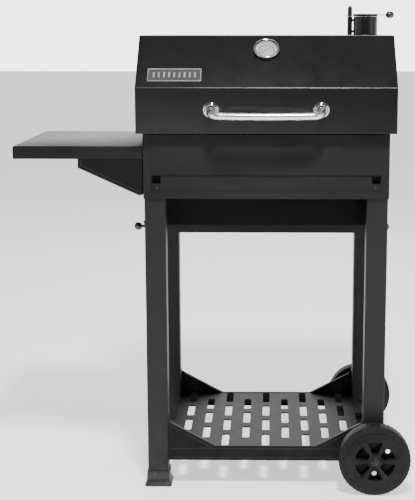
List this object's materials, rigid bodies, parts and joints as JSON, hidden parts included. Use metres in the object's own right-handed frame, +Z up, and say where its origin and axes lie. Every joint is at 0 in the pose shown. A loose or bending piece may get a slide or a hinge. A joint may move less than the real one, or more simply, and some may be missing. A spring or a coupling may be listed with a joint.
{
  "type": "charcoal grill cart",
  "caption": "Cart-style charcoal grill with a hinged lid, smoke stack, side shelf, slotted storage shelf, slide-out ash pan and a pair of wheels.",
  "frame": {"origin": "on the floor, below the middle of the outline", "axes": "+Z up, front towards -Y, side shelf towards -X, wheels towards +X"},
  "size_m": [0.9474, 0.6246, 1.1669],
  "materials": {
    "frame_paint": "satin black powder coat",
    "panel_paint": "satin black powder coat",
    "lid_paint": "smooth black high-temperature paint",
    "shelf_paint": "dark grey powder coat",
    "tub_paint": "matt black high-temperature paint",
    "grate_iron": "seasoned steel rod",
    "black_bolts": "blackened steel",
    "bright_steel": "stainless, fine grain",
    "chrome_trim": "polished",
    "badge_steel": "satin with a dark recess",
    "dial_face": "printed dial",
    "lens_glass": "clear",
    "needle_paint": "red enamel",
    "knob_plastic": "polished phenolic",
    "foot_plastic": "moulded",
    "wheel_plastic": "moulded",
    "tyre_rubber": "ribbed"
  },
  "bodies": {
    "root": {"leg_front_left": "frame_paint", "leg_front_right": "frame_paint", "leg_rear_left": "frame_paint", "leg_rear_right": "frame_paint", "foot_front": "foot_plastic", "foot_rear": "foot_plastic", "leg_plugs": "foot_plastic", "storage_shelf": "shelf_paint", "front_rail": "frame_paint", "rear_rail": "frame_paint", "left_panel": "panel_paint", "right_panel": "panel_paint", "front_panel": "panel_paint", "back_panel": "panel_paint", "fire_tub": "tub_paint", "tub_ends": "tub_paint", "tub_rivets": "black_bolts", "grate_ledges": "tub_paint", "charcoal_grate": "grate_iron", "cooking_grate_left": "grate_iron", "cooking_grate_right": "grate_iron", "pan_rails": "tub_paint", "side_shelf": "shelf_paint", "bracket_front": "frame_paint", "bracket_rear": "frame_paint", "frame_bolts": "black_bolts", "rail_bolts": "black_bolts", "shelf_bolts": "black_bolts", "axle": "bright_steel", "axle_spacers": "bright_steel", "axle_nuts": "black_bolts", "hinge_brackets": "lid_paint", "hinge_pins": "bright_steel"},
    "ash_pan": {"ash_pan": "tub_paint", "pan_knobs": "knob_plastic"},
    "lid": {"lid_shell": "lid_paint", "lid_end_left": "lid_paint", "lid_end_right": "lid_paint", "hinge_leaves": "lid_paint", "lid_handle": "bright_steel", "handle_rosettes": "chrome_trim", "handle_screws": "bright_steel", "gauge_housing": "chrome_trim", "gauge_dial": "dial_face", "gauge_lens": "lens_glass", "gauge_stem": "bright_steel", "gauge_nut": "bright_steel", "badge_plate": "badge_steel", "stack_tube": "lid_paint", "stack_flange": "lid_paint", "pivot_sleeve": "lid_paint"},
    "needle": {"gauge_needle": "needle_paint"},
    "stack_cap": {"stack_cap": "lid_paint", "cap_bolt": "black_bolts", "cap_wire": "bright_steel", "cap_knob": "knob_plastic"},
    "front_wheel": {"front_tyre": "tyre_rubber", "front_wheel": "wheel_plastic"},
    "rear_wheel": {"rear_tyre": "tyre_rubber", "rear_wheel": "wheel_plastic"}
  },
  "joints": [
    {"name": "lid_hinge", "type": "hinge", "parent": "root", "child": "lid", "pos_m": [0.12345, 0.261, 0.88], "axis": [-1, 0, 0], "range_deg": [0, 95]},
    {"name": "ash_pan_slide", "type": "slide", "parent": "root", "child": "ash_pan", "axis": [1, 0, 0], "range_m": [-0.34, 0.364]},
    {"name": "stack_cap_swing", "type": "hinge", "parent": "lid", "child": "stack_cap", "pos_m": [0.33465, 0.087, 1.14], "axis": [0, 0, 1], "range_deg": [-150, 150]},
    {"name": "gauge_pointer", "type": "hinge", "parent": "lid", "child": "needle", "pos_m": [0.12345, -0.17125, 1.05669], "axis": [0, 0.6983, -0.7159], "range_deg": [0, 240], "stiffness_Nm_per_rad": 0.0001},
    {"name": "front_wheel_spin", "type": "hinge", "parent": "root", "child": "front_wheel", "pos_m": [0.38675, -0.2673, 0.087], "axis": [0, 1, 0], "continuous": true},
    {"name": "rear_wheel_spin", "type": "hinge", "parent": "root", "child": "rear_wheel", "pos_m": [0.38675, 0.2813, 0.087], "axis": [0, 1, 0], "continuous": true}
  ]
}
